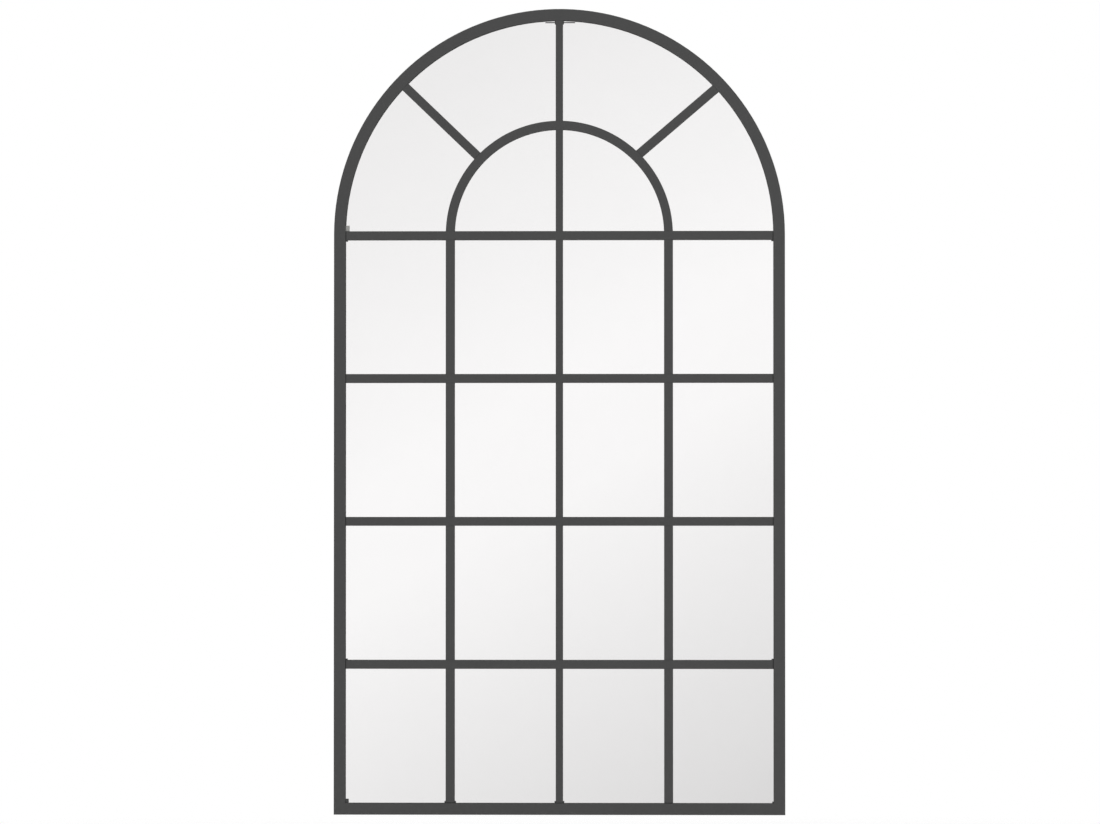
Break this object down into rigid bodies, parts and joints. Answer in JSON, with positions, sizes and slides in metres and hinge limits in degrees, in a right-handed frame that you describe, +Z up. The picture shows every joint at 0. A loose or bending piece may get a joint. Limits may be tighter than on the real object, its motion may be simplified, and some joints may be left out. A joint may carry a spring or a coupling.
{
  "type": "arched window mirror",
  "caption": "Tall round-headed wall mirror in a slim dark steel frame, divided by glazing bars like a fanlight window, with D-ring hangers behind.",
  "frame": {"origin": "on the wall plane, which is the plane of the backs of the rubber wall bumpers, midway across the mirror and level with its bottom edge", "axes": "+Z up, +X to the right of someone facing the mirror, +Y back into the wall; the glass looks towards -Y"},
  "size_m": [0.711, 0.025, 1.2699],
  "materials": {
    "powder_coat": "charcoal powder coat, fine texture, low sheen",
    "silvered_glass": "clear float glass silvered on its back",
    "hardboard": "plain brown hardboard, smooth side out",
    "foam_tape": "grey closed-cell foam tape",
    "rubber": "black moulded rubber",
    "zinc_plated_steel": "bright zinc plate"
  },
  "bodies": {
    "frame": {"frame_arch": "powder_coat", "left_stile": "powder_coat", "right_stile": "powder_coat", "bottom_rail": "powder_coat", "corner_keys": "powder_coat", "transom_bar": "powder_coat", "upper_glazing_bar": "powder_coat", "middle_glazing_bar": "powder_coat", "lower_glazing_bar": "powder_coat", "left_mullion": "powder_coat", "centre_mullion": "powder_coat", "right_mullion": "powder_coat", "crown_pin": "powder_coat", "inner_arch": "powder_coat", "left_spoke": "powder_coat", "right_spoke": "powder_coat", "glazing_tape": "foam_tape", "mirror_glass": "silvered_glass", "backing_board": "hardboard", "setting_blocks": "rubber", "retaining_clips": "zinc_plated_steel", "clip_studs": "zinc_plated_steel", "clip_nuts": "zinc_plated_steel", "hanger_rail": "powder_coat", "left_hanger_strap": "zinc_plated_steel", "right_hanger_strap": "zinc_plated_steel", "hanger_screws": "zinc_plated_steel", "lower_gussets": "powder_coat", "upper_gussets": "powder_coat", "wall_bumpers": "rubber"},
    "left_ring": {"left_hanger_ring": "zinc_plated_steel"},
    "right_ring": {"right_hanger_ring": "zinc_plated_steel"}
  },
  "joints": [
    {"name": "left_ring_swing", "type": "hinge", "parent": "frame", "child": "left_ring", "pos_m": [-0.23, -0.008, 0.89], "axis": [1, 0, 0], "range_deg": [0, 180]},
    {"name": "right_ring_swing", "type": "hinge", "parent": "frame", "child": "right_ring", "pos_m": [0.23, -0.008, 0.89], "axis": [1, 0, 0], "range_deg": [0, 180]}
  ]
}
